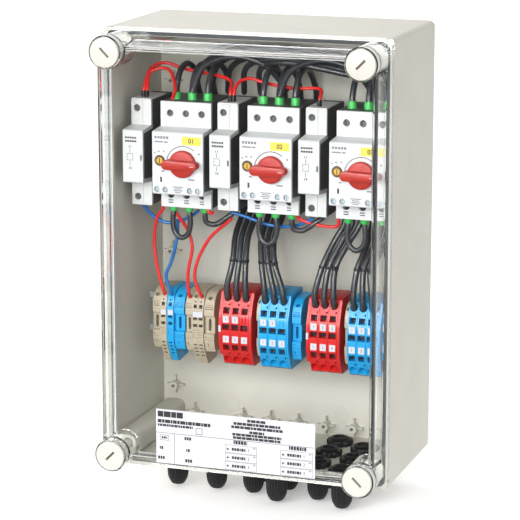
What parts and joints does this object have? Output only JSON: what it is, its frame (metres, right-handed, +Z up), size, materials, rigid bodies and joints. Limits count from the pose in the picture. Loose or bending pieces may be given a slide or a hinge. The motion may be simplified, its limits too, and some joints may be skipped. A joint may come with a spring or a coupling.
{
  "type": "photovoltaic string isolator box",
  "caption": "Wall-mounted insulated enclosure with a clear lift-off cover, rotary DC switch-disconnectors with release modules, red, blue and beige rail terminals and cable glands.",
  "frame": {"origin": "centre of the flat back face that lies on the wall", "axes": "+X to the right seen from the front, +Y into the wall, +Z up along the enclosure's height"},
  "size_m": [0.25, 0.1645, 0.4023],
  "materials": {
    "enclosure_plastic": "fine moulded texture, light warm grey",
    "clear_cover": "clear polycarbonate, polished",
    "gasket": "foamed seal, dark grey",
    "fastener_cap": "cream moulded plastic, satin",
    "zinc_rail": "zinc plated, satin",
    "device_body": "charcoal moulded plastic",
    "device_front": "light grey moulded plastic, satin",
    "red_knob": "red moulded plastic, semi-gloss",
    "setting_dial": "brown dial with an amber centre",
    "red_terminal": "red polyamide",
    "blue_terminal": "blue polyamide",
    "beige_terminal": "beige-grey polyamide",
    "gland_plastic": "black polyamide, satin",
    "black_wire": "black cable insulation"
  },
  "bodies": {
    "enclosure": {"enclosure_base": "enclosure_plastic", "upper_rail": "zinc_rail", "lower_rail": "zinc_rail", "switch_1_base": "device_body", "switch_1_front": "device_front", "release_1_base": "device_body", "release_1_front": "device_front", "switch_2_base": "device_body", "switch_2_front": "device_front", "release_2_base": "device_body", "release_2_front": "device_front", "switch_3_base": "device_body", "switch_3_front": "device_front", "release_3_base": "device_body", "release_3_front": "device_front", "red_terminal_block_1": "red_terminal", "blue_terminal_block_1": "blue_terminal", "red_terminal_block_2": "red_terminal", "blue_terminal_block_2": "blue_terminal", "supply_terminal_line": "beige_terminal", "supply_terminal_neutral": "blue_terminal", "signal_terminals": "beige_terminal", "supply_end_clamp_left": "beige_terminal", "supply_end_clamp_right": "blue_terminal", "signal_end_clamp_left": "beige_terminal", "signal_end_clamp_right": "beige_terminal", "block_end_plate_1": "beige_terminal", "block_end_clamp_1": "blue_terminal", "block_end_plate_2": "beige_terminal", "block_end_clamp_2": "blue_terminal", "cable_gland_01": "gland_plastic", "cable_gland_02": "gland_plastic", "cable_gland_03": "gland_plastic", "cable_gland_04": "gland_plastic", "cable_gland_05": "gland_plastic", "cable_gland_06": "gland_plastic", "cable_gland_07": "gland_plastic", "cable_gland_08": "gland_plastic", "cable_gland_09": "gland_plastic", "cable_gland_10": "gland_plastic", "cable_gland_11": "gland_plastic", "cable_gland_12": "gland_plastic", "cable_gland_13": "gland_plastic", "cable_gland_14": "gland_plastic", "string_leads_1": "black_wire", "string_leads_2": "black_wire", "string_leads_3": "black_wire", "string_leads_4": "black_wire"},
    "cover": {"front_cover": "clear_cover", "cover_gasket": "gasket"},
    "fastener_top_left": {"cover_fastener_top_left": "fastener_cap"},
    "fastener_top_right": {"cover_fastener_top_right": "fastener_cap"},
    "fastener_bottom_left": {"cover_fastener_bottom_left": "fastener_cap"},
    "fastener_bottom_right": {"cover_fastener_bottom_right": "fastener_cap"},
    "knob_1": {"switch_1_knob": "red_knob"},
    "dial_1": {"switch_1_setting_dial": "setting_dial"},
    "knob_2": {"switch_2_knob": "red_knob"},
    "dial_2": {"switch_2_setting_dial": "setting_dial"},
    "knob_3": {"switch_3_knob": "red_knob"},
    "dial_3": {"switch_3_setting_dial": "setting_dial"}
  },
  "joints": [
    {"name": "cover_lift_off", "type": "slide", "parent": "enclosure", "child": "cover", "axis": [0, -1, 0], "range_m": [0, 0.2]},
    {"name": "fastener_turn_top_left", "type": "hinge", "parent": "cover", "child": "fastener_top_left", "pos_m": [-0.1085, -0.16, 0.171], "axis": [0, -1, 0], "range_deg": [0, 90]},
    {"name": "fastener_turn_top_right", "type": "hinge", "parent": "cover", "child": "fastener_top_right", "pos_m": [0.1085, -0.16, 0.171], "axis": [0, -1, 0], "range_deg": [0, 90]},
    {"name": "fastener_turn_bottom_left", "type": "hinge", "parent": "cover", "child": "fastener_bottom_left", "pos_m": [-0.1085, -0.16, -0.171], "axis": [0, -1, 0], "range_deg": [0, 90]},
    {"name": "fastener_turn_bottom_right", "type": "hinge", "parent": "cover", "child": "fastener_bottom_right", "pos_m": [0.1085, -0.16, -0.171], "axis": [0, -1, 0], "range_deg": [0, 90]},
    {"name": "knob_turn_1", "type": "hinge", "parent": "enclosure", "child": "knob_1", "pos_m": [-0.059, -0.12, 0.0739], "axis": [0, 1, 0], "range_deg": [0, 90]},
    {"name": "knob_turn_2", "type": "hinge", "parent": "enclosure", "child": "knob_2", "pos_m": [0.0184, -0.12, 0.0739], "axis": [0, 1, 0], "range_deg": [0, 90]},
    {"name": "knob_turn_3", "type": "hinge", "parent": "enclosure", "child": "knob_3", "pos_m": [0.0958, -0.12, 0.0739], "axis": [0, 1, 0], "range_deg": [0, 90]},
    {"name": "dial_turn_1", "type": "hinge", "parent": "enclosure", "child": "dial_1", "pos_m": [-0.0799, -0.115, 0.0755], "axis": [0, 1, 0], "range_deg": [-135, 135]},
    {"name": "dial_turn_2", "type": "hinge", "parent": "enclosure", "child": "dial_2", "pos_m": [-0.0025, -0.115, 0.0755], "axis": [0, 1, 0], "range_deg": [-135, 135]},
    {"name": "dial_turn_3", "type": "hinge", "parent": "enclosure", "child": "dial_3", "pos_m": [0.0749, -0.115, 0.0755], "axis": [0, 1, 0], "range_deg": [-135, 135]}
  ]
}
